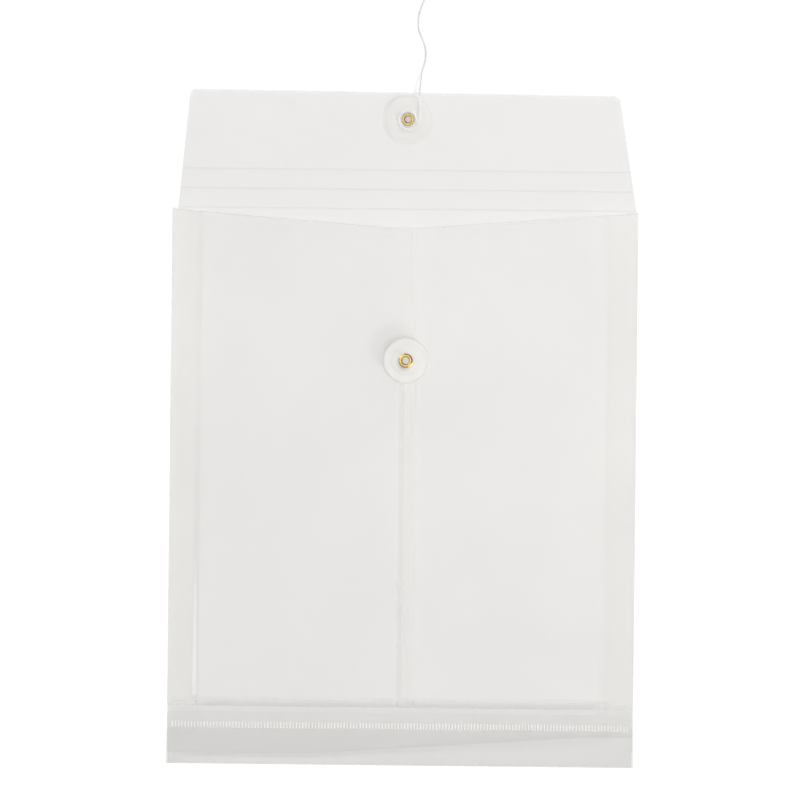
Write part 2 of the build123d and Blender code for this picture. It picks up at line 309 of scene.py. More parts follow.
class ClosureSettings(bpy.types.PropertyGroup):
    """Discs and eyelets."""

    disc_colour: FloatVectorProperty(
        name="Disc colour", description="Colour of the moulded discs", subtype="COLOR", size=3, min=0, max=1,
        default=(0.88, 0.87, 0.84),
    )
    disc_milk: FloatProperty(
        name="Disc milk", description="How much a face of a disc hides what is behind it",
        subtype="FACTOR", min=0, max=1, default=0.36,
    )
    edge_milk: FloatProperty(
        name="Edge milk", description="How much the edge of a disc hides what is behind it",
        subtype="FACTOR", min=0, max=1, default=0.45,
    )
    # The edge's darker tone is a painted shade along each disc's rim.
    edge_painted_shade: FloatProperty(
        name="Edge shade", description="Tone of a disc's edge against that of its face",
        subtype="FACTOR", min=0, max=1, default=0.84,
    )
    brass: FloatVectorProperty(
        name="Brass", description="Colour of the eyelets", subtype="COLOR", size=3, min=0, max=1,
        default=(0.86, 0.64, 0.26),
    )
    disc_radius: FloatProperty(
        name="Disc radius", description="Radius of a disc", unit="LENGTH", default=0.012,
    )
    rim_width: FloatProperty(
        name="Rim width", description="Width of a disc's rim", unit="LENGTH", default=0.0032,
    )
    land_radius: FloatProperty(
        name="Land radius", description="Radius of the raised middle of a disc", unit="LENGTH",
        default=0.0074,
    )
    hub_radius: FloatProperty(
        name="Hub radius", description="Radius of the hub that the string winds round", unit="LENGTH",
        default=0.0034,
    )
    hub_height: FloatProperty(
        name="Hub height", description="Height of the hub", unit="LENGTH", default=0.0015,
    )
    web: FloatProperty(
        name="Web", description="Thickness of a disc between its rim and its land", unit="LENGTH",
        default=0.0008,
    )
    rim: FloatProperty(
        name="Rim", description="Thickness of a disc at its rim and its land", unit="LENGTH", default=0.00105,
    )
    running_gap: FloatProperty(
        name="Running gap", description="Gap above and below a disc", unit="LENGTH", default=0.0001,
    )
    barrel_radius: FloatProperty(
        name="Barrel radius", description="Outer radius of an eyelet's barrel", unit="LENGTH", default=0.0022,
    )
    bore_radius: FloatProperty(
        name="Bore radius", description="Radius of the hole in an eyelet", unit="LENGTH", default=0.0017,
    )
    head_radius: FloatProperty(
        name="Head radius", description="Radius of an eyelet's head", unit="LENGTH", default=0.0038,
    )
    head_height: FloatProperty(
        name="Head height", description="Height of an eyelet's head", unit="LENGTH", default=0.0007,
    )
    clinch_radius: FloatProperty(
        name="Clinch radius", description="Radius of an eyelet's clinched end", unit="LENGTH", default=0.0033,
    )
    clinch_height: FloatProperty(
        name="Clinch height", description="Height of an eyelet's clinched end", unit="LENGTH", default=0.0006,
    )
    steps: IntProperty(name="Steps", description="Steps round a disc or eyelet", default=96, min=12)


class StringSettings(bpy.types.PropertyGroup):
    """The tie string."""

    colour: FloatVectorProperty(
        name="Colour", description="Colour of the string", subtype="COLOR", size=3, min=0, max=1,
        default=(0.97, 0.97, 0.96),
    )
    diameter: FloatProperty(
        name="Diameter", description="Diameter of the string", unit="LENGTH", default=0.0012,
    )
    length: FloatProperty(
        name="Length", description="Length of the string", unit="LENGTH", default=0.306,
    )
    plies: IntProperty(name="Plies", description="Plies that are twisted together", default=3, min=2)
    lay: FloatProperty(
        name="Lay", description="Length of one turn of the twist", unit="LENGTH", default=0.0042,
    )


class StageSettings(bpy.types.PropertyGroup):
    """Camera, floor and light."""

    view_width: FloatProperty(
        name="View width", description="Width of the table that the camera sees", unit="LENGTH",
        default=0.4234,
    )
    view_x: FloatProperty(
        name="View x", description="Middle of the view across the envelope", unit="LENGTH", default=-0.0018,
    )
    view_y: FloatProperty(
        name="View y", description="Middle of the view along the envelope", unit="LENGTH", default=0.0155,
    )
    roll: FloatProperty(
        name="Roll", description="Turn of the camera about its line of sight", unit="ROTATION",
        default=math.radians(0.63),
    )
    lens: FloatProperty(name="Lens", description="Focal length in millimetres", default=180)
    table_reach: FloatProperty(
        name="Table reach", description="How far the table goes on each side", unit="LENGTH", default=4,
    )
    table_grey: FloatProperty(
        name="Table grey", description="Tone of the table", subtype="FACTOR", min=0, max=1, default=0.68,
    )
    table_glow: FloatProperty(
        name="Table glow", description="What lifts the table's tone to white for the camera",
        subtype="FACTOR", min=0, max=1, default=0.31,
    )
    table_light: FloatProperty(
        name="Table light", description="Strength of the light that falls on the table alone", default=2.1,
    )
    table_light_width: FloatProperty(
        name="Table light width", description="How wide the table's light looks", unit="ROTATION",
        default=math.radians(70),
    )


# Building blocks


def spaced(low, high, step):
    """Evenly spaced stations from low to high, about a step apart."""
    count = max(1, round((high - low) / step))
    return [low + (high - low) * index / count for index in range(count + 1)]


def joined(*runs):
    """Stations of several runs in order, with those that nearly meet taken once."""
    kept = []
    for station in sorted(station for run in runs for station in run):
        if not kept or station - kept[-1] > FILM / 10:
            kept.append(station)
    return kept


def smooth_step(share):
    """Ease from 0 to 1 as the share goes from 0 to 1."""
    share = min(max(share, 0), 1)
    return share * share * (3 - 2 * share)


def bump(distance, width):
    """A soft bump of height 1 at a distance of 0, gone at a distance of width."""
    return smooth_step(1 - abs(distance) / width)


# Waves of the sheets: how many to the metre across and along, and where in the noise they start
LONG_WAVES = (14, 9, 2.5)
SHORT_WAVES = (30, 17, 7.1)
LEAF_WAVES = {"left": (40, 12, 11.3), "right": (40, 12, 15.9)}
BOTTOM_WAVES = (25, 60, 4.4)


def ripples(x, y, waves):
    """Height of a sheet's waves at a point, about from -1 to 1."""
    across, along, start = waves
    return noise.noise(Vector((x * across, y * along, start)))


def film_grid(across, along, place):
    """A sheet of film's upper face: a grid at the given stations, each moved to where place puts it."""
    bm = bmesh.new()
    columns = len(across) - 1
    rows = len(along) - 1
    bmesh.ops.create_grid(bm, x_segments=columns, y_segments=rows, size=1)
    for vert in bm.verts:
        column = round((vert.co.x + 1) / 2 * columns)
        row = round((vert.co.y + 1) / 2 * rows)
        vert.co = place(across[column], along[row])
    return bm


def cut_hole(bm, centre, radius):
    """Open a round hole about the grid point nearest to the centre."""
    middle = min(bm.verts, key=lambda vert: (vert.co.xy - centre).length)
    rim = {vert for face in middle.link_faces for vert in face.verts} - {middle}
    bmesh.ops.delete(bm, geom=[middle], context="VERTS")
    for vert in rim:
        out = (vert.co.xy - centre).normalized() * radius
        vert.co.xy = centre + out


def thicken(bm, thickness, matrix):
    """Give a sheet its thickness below its upper face and put it in its place."""
    bmesh.ops.solidify(bm, geom=bm.faces[:], thickness=thickness)
    bm.transform(matrix)
    bmesh.ops.recalc_face_normals(bm, faces=bm.faces[:])
    return bm


def add_piece(name, bm, *materials):
    """Turn a finished bmesh into a piece that is shaded smooth up to its sharp edges."""
    for edge in bm.edges:
        edge.smooth = edge.calc_face_angle(math.pi) < SHARP_ANGLE
    for face in bm.faces:
        face.smooth = True
    mesh = bpy.data.meshes.new(name)
    bm.to_mesh(mesh)
    bm.free()
    for material in materials:
        mesh.materials.append(material)
    piece = bpy.data.objects.new(name, mesh)
    bpy.context.scene.collection.objects.link(piece)
    return piece


def clear_film():
    """The collection of all pieces of film, which let light through."""
    return bpy.data.collections.get("film_pieces") or bpy.data.collections.new("film_pieces")


def mark_film(piece, shades_table=False):
    """Count a piece as film; only the film that lies on the table shades the table."""
    clear_film().objects.link(piece)
    piece.visible_shadow = shades_table


def place_film(piece, body, node, flat, shades_table=False):
    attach(piece, body)
    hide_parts(node)
    mark_film(piece, shades_table)


# Materials


class Shader:
    """A new node material: its Principled shader and short ways to add and link nodes."""

    def __init__(self, name, **sockets):
        self.material = bpy.data.materials.new(name)
        self.material.use_nodes = True
        self.nodes = self.material.node_tree.nodes
        self.links = self.material.node_tree.links
        self.surface = self.nodes["Principled BSDF"]
        for socket, value in sockets.items():
            self.surface.inputs[socket.replace("_", " ")].default_value = value
        self.coordinates = self.nodes.new("ShaderNodeTexCoord").outputs["Object"]

    def along(self, axis):
        """How far along an axis of the envelope a point lies."""
        parts = self.nodes.new("ShaderNodeSeparateXYZ")
        self.links.new(self.coordinates, parts.inputs["Vector"])
        return parts.outputs[axis]

    def sized(self, operation, *values):
        """Values put together by a sum, a product or the like."""
        node = self.nodes.new("ShaderNodeMath")
        node.operation = operation
        for socket, value in zip(node.inputs, values):
            self.links.new(value, socket)
        return node.outputs[0]

    def noise(self, scale, detail=2):
        """Noise with about scale features to the metre."""
        texture = self.nodes.new("ShaderNodeTexNoise")
        texture.inputs["Scale"].default_value = scale
        texture.inputs["Detail"].default_value = detail
        self.links.new(self.coordinates, texture.inputs["Vector"])
        return texture.outputs["Fac"]

    def between(self, value, low, high, from_low=0.3, from_high=0.7):
        """A value mapped to a range."""
        node = self.nodes.new("ShaderNodeMapRange")
        for socket, number in (
            ("From Min", from_low), ("From Max", from_high), ("To Min", low), ("To Max", high),
        ):
            node.inputs[socket].default_value = number
        self.links.new(value, node.inputs["Value"])
        return node.outputs["Result"]

    def shades(self, value, dark, light):
        """A colour between two, by a value from 0 to 1."""
        node = self.nodes.new("ShaderNodeMix")
        node.data_type = "RGBA"
        node.inputs["A"].default_value = (*dark, 1)
        node.inputs["B"].default_value = (*light, 1)
        self.links.new(value, node.inputs["Factor"])
        return node.outputs["Result"]

    def raise_by(self, height, distance, strength=1):
        """Bump the surface by a height."""
        node = self.nodes.new("ShaderNodeBump")
        node.inputs["Distance"].default_value = distance
        node.inputs["Strength"].default_value = strength
        self.links.new(height, node.inputs["Height"])
        self.links.new(node.outputs["Normal"], self.surface.inputs["Normal"])

    def drive(self, socket, value):
        """Let a value drive a socket of the shader."""
        self.links.new(value, self.surface.inputs[socket])


def scaled(colour, factor):
    """A colour made darker or lighter."""
    return tuple(min(channel * factor, 1) for channel in colour)


def film_shader(name, haze, roughness):
    """Gloss of clear film: handling marks and a slight orange peel."""
    shader = Shader(
        name, Alpha=haze, Specular_IOR_Level=0.0, Coat_Weight=1.0, Coat_Roughness=0.1, Coat_IOR=1.8
    )
    rubbed = shader.noise(30, detail=5)
    shader.drive("Roughness", shader.between(rubbed, roughness * 0.85, roughness * 1.2))
    shader.raise_by(shader.noise(180, detail=2), 0.00002)
    return shader


def film_material(name, tint, haze, roughness):
    """Clear film with a faint cloudiness."""
    shader = film_shader(name, haze, roughness)
    cloud = shader.between(shader.noise(14, detail=4), 0, 1)
    shader.drive("Base Color", shader.shades(cloud, scaled(tint, 0.985), scaled(tint, 1.015)))
    return shader.material


# How the tint, haze and roughness of each finish compare with those of the plain film; the darker tints of
# the score and fold finishes are a painted shade in grooves, at folds and along edges
FINISH_SHARES = {
    "clear_film": (1, 1, 1),
    "welded_film": (1.2, 2.1, 1.6),
    "scored_film": (0.88, 1.1, 1),
    "folded_film": (0.93, 1, 1),
    "edge_film": (1.15, 1, 1),
}

# Painted shade: tones of the bottom below and above its welds, the tone at the bottom crease, and how much of
# that shade the crease's two ends take
BOTTOM_PAINTED_SHADE_SHARES = (0.88, 0.95)
CREASE_PAINTED_SHADE_SHARE = 0.74
CREASE_SIDE_SHARE = 0.35


def film_finish(name):
    """A finish of the film, made once: clear, pressed white, rounded over, or darkened by a painted shade for
    score lines, sharp folds and edges.
    """
    film = bpy.context.scene.envelope_film
    tint, haze, roughness = FINISH_SHARES[name]
    return bpy.data.materials.get(name) or film_material(
        name, scaled(film.tint, tint), min(film.haze * haze, 1), film.roughness * roughness
    )


def painted_bottom_shade_finish():
    """Film of the folded bottom with a painted shade: a little greyer all over and greyer still below its row
    of weld strokes, made once.
    """
    film = bpy.context.scene.envelope_film
    pocket = bpy.context.scene.envelope_pocket
    made = bpy.data.materials.get("bottom_film")
    if made:
        return made
    shader = film_shader("bottom_film", film.haze, film.roughness)
    weld = (bottom_frame() @ Vector((0, pocket.weld_height, 0))).y
    over_weld = shader.between(
        shader.along("Y"), 0, 1, weld - pocket.weld_length, weld - pocket.weld_length / 4
    )
    below, above = (scaled(film.tint, share) for share in BOTTOM_PAINTED_SHADE_SHARES)
    shader.drive("Base Color", shader.shades(over_weld, below, above))
    return shader.material


def painted_crease_shade_finish():
    """Film over the bottom crease with a painted shade: darker at the bend and clear above it, made once."""
    film = bpy.context.scene.envelope_film
    made = bpy.data.materials.get("creased_film")
    if made:
        return made
    shader = film_shader("creased_film", film.haze, film.roughness)
    inner = HALF_WIDTH - film.gusset_leaf
    aside = shader.sized("ABSOLUTE", shader.along("X"))
    within = shader.between(
        aside, 1, CREASE_SIDE_SHARE, inner - film.crease_band, inner + film.crease_band
    )
    near = shader.between(shader.along("Y"), 1, 0, BOTTOM_CREASE.y, BOTTOM_CREASE.y + film.crease_band)
    # Painted shade in the crease: full at the bend, fading up the closure side and weaker past the gussets'
    # inner folds.
    painted_crease_mask = shader.sized("MULTIPLY", within, near)
    shader.drive("Base Color", shader.shades(painted_crease_mask, film.tint[:], scaled(film.tint, CREASE_PAINTED_SHADE_SHARE)))
    return shader.material


def disc_material(name, colour, milkiness):
    """Moulded plastic: milky, with a fine satin grain."""
    shader = Shader(name, Alpha=milkiness, IOR=1.5, Specular_IOR_Level=0.5)
    milky = shader.between(shader.noise(120, detail=3), 0, 1)
    shader.drive("Base Color", shader.shades(milky, scaled(colour, 0.975), scaled(colour, 1.02)))
    shader.drive("Roughness", shader.between(shader.noise(600), 0.3, 0.42))
    shader.raise_by(shader.noise(2600, detail=3), 0.00001)
    return shader.material


def brass_material(colour):
    """Polished brass with faint rubbing marks and a darker tarnish in patches."""
    shader = Shader("polished_brass", Metallic=1.0)
    tarnish = shader.between(shader.noise(700, detail=4), 0, 1)
    shader.drive("Base Color", shader.shades(tarnish, scaled(colour, 0.82), scaled(colour, 1.1)))
    shader.drive("Roughness", shader.between(shader.noise(1500, detail=3), 0.06, 0.16))
    shader.raise_by(shader.noise(3500, detail=2), 0.000006)
    return shader.material


def string_material(colour):
    """Spun thread: matt, with fine fibres and a soft sheen."""
    shader = Shader(
        "spun_thread",
        Specular_IOR_Level=0.2,
        Sheen_Weight=0.35,
        Sheen_Roughness=0.6,
        Subsurface_Weight=0.8,
        Subsurface_Radius=(1, 1, 1),
        Subsurface_Scale=0.0006,
    )
    fibres = shader.between(shader.noise(5200, detail=4), 0, 1)
    shader.drive("Base Color", shader.shades(fibres, scaled(colour, 0.94), scaled(colour, 1.03)))
    shader.drive("Roughness", shader.between(fibres, 0.75, 0.95))
    shader.raise_by(shader.noise(7000, detail=3), 0.00001)
    return shader.material


def tie_material():
    """Paper of the coil's tie: pale, matt and fibrous."""
    shader = Shader("paper_tie", Specular_IOR_Level=0.25)
    fibres = shader.between(shader.noise(2400, detail=5), 0, 1)
    shader.drive("Base Color", shader.shades(fibres, (0.72, 0.70, 0.66), (0.84, 0.83, 0.80)))
    shader.drive("Roughness", shader.between(fibres, 0.7, 0.9))
    shader.raise_by(shader.noise(3000, detail=4), 0.00002)
    return shader.material


# Front panel


class ENVELOPE_OT_front(bpy.types.Operator):
    """Lay the front panel on the table"""

    bl_idname = "envelope.front"
    bl_label = "Front Panel"

    def execute(self, context):
        film = context.scene.envelope_film
        low = BOTTOM_FOLD.y
        high = THROAT_FOLD.y - film.fold_half
        across = spaced(-HALF_WIDTH, HALF_WIDTH, FILM_STEP * 2)
        along = spaced(low, high, FILM_STEP * 2)
        bm = film_grid(across, along, lambda x, y: (x, y, FILM))
        thicken(bm, FILM, Matrix.Identity(4))
        piece = add_piece("front_sheet", bm, film_finish("clear_film"))
        place_film(piece, "front", "front_panel", (2 * HALF_WIDTH, THROAT_FOLD.y - BOTTOM_FOLD.y), True)
        return {"FINISHED"}


# Closure side


def mouth_drop(x):
    """How far the mouth's edge lies below the throat fold at x."""
    pocket = bpy.context.scene.envelope_pocket
    shoulder = HALF_WIDTH - bpy.context.scene.envelope_film.gusset_leaf
    slope = (pocket.mouth_dip - pocket.mouth_shoulder) / shoulder
    off = abs(x)
    if off > shoulder:
        share = (off - shoulder) / (HALF_WIDTH - shoulder)
        return pocket.mouth_shoulder + (pocket.mouth_side - pocket.mouth_shoulder) * share
    if off < pocket.mouth_round:
        off = (pocket.mouth_round + off * off / pocket.mouth_round) / 2
    return pocket.mouth_dip - slope * off


# Where the closure side's waves fade out, how its swelling grows from the mouth down, and its fine rows
WAVE_MARGIN = 0.03
MOUTH_CALM = 0.05
DISC_CALM = 0.05
PILLOW_LEFT_SHARE = 0.25
PILLOW_RIGHT_SHARE = 0.7
PILLOW_MIDDLE = 0.06
PILLOW_START = 0.08
PILLOW_RUN = 0.17
FINE_HEIGHT = 0.02
FINE_ROW = 0.001

# The seam's raised lines, and how far its free edge wanders above and below the disc
SEAM_LINES = (0.0041, 0.0054)
SEAM_WANDER = (0.0021, -0.0008)
WANDER_WIDTH = 0.005
WANDER_START = 0.004
WANDER_RUN = 0.01


def back_height(x, y):
    """Height of the closure side over its plate: slow waves, and a swelling between the gussets."""
    film = bpy.context.scene.envelope_film
    over_crease = max(y - BOTTOM_CREASE.y, 0)
    under_mouth = THROAT_FOLD.y - y
    inside = smooth_step((HALF_WIDTH - abs(x)) / WAVE_MARGIN) * smooth_step(over_crease / WAVE_MARGIN)
    inside *= smooth_step(under_mouth / MOUTH_CALM)
    calm = 1 - bump((Vector((x, y)) - BODY_SEAT.xy).length, DISC_CALM)
    waves = ripples(x, y, LONG_WAVES) + ripples(x, y, SHORT_WAVES) / 2
    foot = 1 - max(1 - (over_crease - film.fold_half) / film.pillow_foot, 0) ** 2
    reach = film.pillow_left if x < 0 else film.pillow_right
    least = PILLOW_LEFT_SHARE if x < 0 else PILLOW_RIGHT_SHARE
    middle = (PILLOW_LEFT_SHARE + PILLOW_RIGHT_SHARE) / 2
    side = smooth_step((reach - abs(x)) / (film.pillow_edge * (3 - 2 * foot)))
    least += (middle - least) * bump(x, PILLOW_MIDDLE)
    grown = smooth_step((under_mouth - PILLOW_START) / PILLOW_RUN)
    swelling = film.pillow * foot * side * (least + (1 - least) * grown)
    return (film.ripple * waves - film.sag) * inside * calm + swelling


def seam_skew(x, y):
    """How far the seam's free edge wanders sideways: right above the disc, left below it."""
    pocket = bpy.context.scene.envelope_pocket
    over_disc = y - BODY_SEAT.y
    wander = SEAM_WANDER[over_disc < 0]
    near = smooth_step(1 - (x - pocket.lap_left) / WANDER_WIDTH)
    return wander * smooth_step((abs(over_disc) - WANDER_START) / WANDER_RUN) * near


def back_place(lap_height, skewed):
    """Where a point of the closure side goes, with the given height of its ply over the plate."""
    pocket = bpy.context.scene.envelope_pocket

    def place(x, y):
        share = (y - THROAT_FOLD.y + pocket.mouth_reach) / pocket.mouth_reach
        moved = y - mouth_drop(x) * smooth_step(share)
        aside = seam_skew(x, y) if skewed else 0
        return (x + aside, moved, BACK_Z + FILM + lap_height(x) + back_height(x, y))

    return place


class ENVELOPE_OT_back(bpy.types.Operator):
    """Make the two halves of the closure side, lapped at the centre seam"""

    bl_idname = "envelope.back"
    bl_label = "Closure Side"

    def execute(self, context):
        film = context.scene.envelope_film
        pocket = context.scene.envelope_pocket
        hole = context.scene.envelope_closure.barrel_radius
        hole_columns = [BODY_SEAT.x - hole, BODY_SEAT.x, BODY_SEAT.x + hole]
        hole_rows = [BODY_SEAT.y - hole, BODY_SEAT.y, BODY_SEAT.y + hole]
        along = joined(
            spaced(BOTTOM_CREASE.y + film.fold_half, BOTTOM_CREASE.y + FINE_HEIGHT, FINE_ROW),
            spaced(BOTTOM_CREASE.y + FINE_HEIGHT, hole_rows[0], FILM_STEP),
            hole_rows,
            spaced(hole_rows[-1], THROAT_FOLD.y - 2 * FILM, FILM_STEP),
            [THROAT_FOLD.y],
        )
        length = THROAT_FOLD.y - BOTTOM_CREASE.y

        def upper_ply(x):
            step = FILM * smooth_step((pocket.lap_right + pocket.lap_ramp - x) / pocket.lap_ramp)
            lines = sum(bump(x - line, pocket.seam_line_half) for line in SEAM_LINES)
            return step + pocket.seam_line_height * lines

        inner = HALF_WIDTH - film.gusset_leaf
        fine = spaced(inner - film.pillow_edge, inner + 1.5 * film.pillow_edge, FILM_STEP / 5)
        left_columns = joined(
            spaced(-HALF_WIDTH, -fine[-1], FILM_STEP), [-station for station in fine],
            spaced(-fine[0], hole_columns[0], FILM_STEP), hole_columns,
            spaced(hole_columns[-1], pocket.lap_right, FILM_STEP / 3),
        )
        seam = spaced(hole_columns[-1], pocket.lap_right + pocket.lap_ramp, pocket.seam_line_half / 2)
        right_columns = joined(
            spaced(pocket.lap_left, hole_columns[0], FILM_STEP), hole_columns, seam,
            spaced(seam[-1], fine[0], FILM_STEP), fine, spaced(fine[-1], HALF_WIDTH, FILM_STEP),
        )
        for name, columns, lap_height in (
            ("left", left_columns, lambda x: 0),
            ("right", right_columns, upper_ply),
        ):
            bm = film_grid(columns, along, back_place(lap_height, name == "right"))
            cut_hole(bm, BODY_SEAT.xy, hole)
            for face in bm.faces:
                middle = face.calc_center_median()
                creased = middle.y < BOTTOM_CREASE.y + film.crease_band
                lapped = name == "left" and middle.x > pocket.lap_left + SEAM_WANDER[1]
                at_seam = name == "right" and middle.x < pocket.lap_left + pocket.lap_ramp
                at_mouth = middle.y > THROAT_FOLD.y - mouth_drop(middle.x) - 2 * FILM
                # Faces near the crease take the painted crease shade; faces at the seam's free edge and along
                # the mouth take the painted fold shade, a dark shadow line at the edge.
                face.material_index = 0 if lapped else 1 if creased else 2 if at_seam or at_mouth else 0
            thicken(bm, FILM, Matrix.Identity(4))
            finishes = (film_finish("clear_film"), painted_crease_shade_finish(), film_finish("folded_film"))
            piece = add_piece(f"back_{name}_sheet", bm, *finishes)
            place_film(piece, "back", f"back_{name}_half", (columns[-1] - columns[0], length))
        return {"FINISHED"}


# Gussets


def leaf_angle():
    """Lean of the gusset leaves at rest, from the height of the pocket."""
    leaf = bpy.context.scene.envelope_film.gusset_leaf
    return math.asin((BACK_Z - FILM) / 2 / math.hypot(leaf, FILM)) - math.atan2(FILM, leaf)


def leaf_frame(side, level):
    """Frame of a gusset leaf: origin on its outer fold, x towards the inner fold, z up."""
    fold = joint_place(f"{side}_{level}_fold")
    mirror = Matrix.Scale(-1, 4, (1, 0, 0)) if side == "right" else Matrix.Identity(4)
    lean = -leaf_angle() if level == "front" else leaf_angle()
    left_fold = Vector((-HALF_WIDTH, 0, fold.z))
    return mirror @ Matrix.Translation(left_fold) @ Matrix.Rotation(lean, 4, "Y")


class ENVELOPE_OT_gussets(bpy.types.Operator):
    """Fold the four gusset leaves in between the front and the closure side"""

    bl_idname = "envelope.gussets"
    bl_label = "Gussets"

    def execute(self, context):
        film = context.scene.envelope_film
        pocket = context.scene.envelope_pocket
        leaf = film.gusset_leaf - FILM / 4
        for side in ("left", "right"):
            for level in ("front", "back"):
                node = f"{side}_gusset_{level}_leaf"
                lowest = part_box(node)[0].y
                foot = pocket.leaf_slant if level == "front" else 0
                top_drop = 0 if level == "front" else pocket.mouth_side
                lift = FILM if level == "front" else 0

                def place(x, y):
                    share = (y - lowest) / (THROAT_FOLD.y - lowest)
                    inward = x / film.gusset_leaf
                    low = lowest + foot * inward
                    high = THROAT_FOLD.y - top_drop - (pocket.mouth_shoulder - top_drop) * inward
                    waves = ripples(x, y, LEAF_WAVES[side])
                    free = bump(x - leaf / 2, leaf / 2)
                    return (x, low + (high - low) * share, lift + film.ripple / 2 * waves * free)

                across = spaced(0, leaf, FILM_STEP / 2)
                along = spaced(lowest, THROAT_FOLD.y, FILM_STEP)
                bm = film_grid(across, along, place)
                # The strip along each leaf's inner fold takes the painted fold shade.
                for face in bm.faces:
                    face.material_index = int(face.calc_center_median().x > leaf - FILM_STEP / 2)
                thicken(bm, FILM, leaf_frame(side, level))
                piece = add_piece(
                    f"{side}_{level}_leaf_sheet", bm, film_finish("clear_film"), film_finish("folded_film")
                )
                place_film(piece, f"{side}_{level}_leaf", node, (leaf, THROAT_FOLD.y - lowest))
        return {"FINISHED"}


# Bottom


# The slack trough that runs along the bottom and climbs to the right with the tail's lower edge
TROUGH_DEPTH = 0.00027
TROUGH_HEIGHT = 0.004
TROUGH_WIDTH = 0.0025
TROUGH_SPREAD = 0.005
TROUGH_END = 0.02
BOTTOM_RIPPLE = 0.00008
LEVEL_SHARE = 0.3
TAIL_RUN_SHARE = 0.6


def past_level(x):
    """How far past the level left part of the bottom a place is, as a share of the whole width."""
    return max((x + HALF_WIDTH) / (2 * HALF_WIDTH) - LEVEL_SHARE, 0)


def bottom_dip(x, y):
    """Depth of the trough and the waves of the bottom, which fade out at its two ends."""
    pocket = bpy.context.scene.envelope_pocket
    rising = past_level(x) / (1 - LEVEL_SHARE)
    middle = TROUGH_HEIGHT + pocket.tail_rise * rising
    width = TROUGH_WIDTH + TROUGH_SPREAD * rising
    ends = smooth_step((HALF_WIDTH - abs(x)) / TROUGH_END)
    waves = ripples(x, y, BOTTOM_WAVES) * smooth_step(y / pocket.tail_start)
    slack = bump(y - middle, width if y > middle else middle)
    return (BOTTOM_RIPPLE * waves - TROUGH_DEPTH * slack) * ends


class ENVELOPE_OT_bottom(bpy.types.Operator):
    """Fold up the bottom: the inner tail, and the outer flap with its row of weld strokes"""

    bl_idname = "envelope.bottom"
    bl_label = "Bottom"

    def execute(self, context):
        film = context.scene.envelope_film
        pocket = context.scene.envelope_pocket
        rise = BOTTOM_CREASE - BOTTOM_FOLD
        crease_along = math.sqrt(rise.y**2 + rise.z**2 - FILM**2)

        tail_top = crease_along - film.fold_half
        weld_low = pocket.weld_height - pocket.weld_length / 2
        weld_high = pocket.weld_height + pocket.weld_length / 2
        shared = joined(spaced(pocket.tail_start, weld_low, FILM_STEP / 3), [weld_high])
        across = spaced(-HALF_WIDTH, HALF_WIDTH, FILM_STEP / 2)
        along = joined(shared, spaced(weld_high, tail_top, FILM_STEP / 3))

        def tail_place(x, y):
            slant = pocket.tail_rise * min(past_level(x) / TAIL_RUN_SHARE, 1)
            high = (y - pocket.tail_start) / (tail_top - pocket.tail_start)
            moved = y + slant * (1 - high)
            return (x, moved, bottom_dip(x, moved) - PLY_GAP)

        bm = film_grid(across, along, tail_place)
        thicken(bm, FILM - PLY_GAP, bottom_frame())
        tail = add_piece("bottom_tail_sheet", bm, painted_bottom_shade_finish())
        place_film(tail, "bottom", "bottom_tail", (2 * HALF_WIDTH, tail_top - pocket.tail_start))

        fold_half = HALF_WIDTH + pocket.bottom_overhang
        edge_half = fold_half - pocket.bottom_narrowing
        count = int((2 * edge_half - pocket.weld_pitch) / pocket.weld_pitch)
        strokes = [(index - (count - 1) / 2) * pocket.weld_pitch for index in range(count)]
        edges = [stroke + side * pocket.weld_width / 2 for stroke in strokes for side in (-1, 1)]
        across = joined([-fold_half, fold_half], edges)
        along = joined(
            spaced(0, pocket.tail_start, FILM_STEP / 3),
            shared,
            spaced(weld_high, pocket.bottom_height, FILM_STEP / 3),
        )

        def narrowing(y):
            return 1 - pocket.bottom_narrowing / fold_half * y / pocket.bottom_height

        def place(x, y):
            return (x * narrowing(y), y, FILM + bottom_dip(x, y))

        bm = film_grid(across, along, place)
        welded = [
            face for face in bm.faces
            if weld_low < face.calc_center_median().y < weld_high
            and min(abs(face.calc_center_median().x / narrowing(pocket.weld_height) - stroke)
                    for stroke in strokes) < pocket.weld_width / 4
        ]
        bmesh.ops.solidify(bm, geom=bm.faces[:], thickness=FILM)
        bmesh.ops.inset_individual(
            bm, faces=welded, thickness=pocket.weld_width / 10, depth=-pocket.weld_depth
        )
        for face in welded:
            face.material_index = 1
        bm.transform(bottom_frame())
        bmesh.ops.recalc_face_normals(bm, faces=bm.faces[:])
        flap = add_piece("bottom_flap_sheet", bm, painted_bottom_shade_finish(), film_finish("welded_film"))
        place_film(flap, "bottom", "bottom_flap", (2 * fold_half, pocket.bottom_height))
        return {"FINISHED"}


# Flap


# The share of the flap's height up to which it is cut level, and how sharply its corners draw in
STRAIGHT_SHARE = 1 / 3
CORNER_POWER = 40


def flap_half_width(height):
    """Half the flap's width at a height over the throat fold."""
    flap = bpy.context.scene.envelope_flap
    return (flap.base_width - (flap.base_width - flap.tip_width) * height / flap.height) / 2


def flap_point(x, y):
    """A point of the flap's upper face, where the flap is cut a little askew."""
    flap = bpy.context.scene.envelope_flap
    share = y / flap.height
    aside = flap.base_shift + (flap.tip_shift - flap.base_shift) * share
    slope = flap.tip_slope * max(share - STRAIGHT_SHARE, 0) / (1 - STRAIGHT_SHARE)
    return (x + aside, y - x * slope, 0)


def flap_place(x, y):
    """A point of the flap's upper face, where x is a share of half its width."""
    return flap_point(x * flap_half_width(y), y)


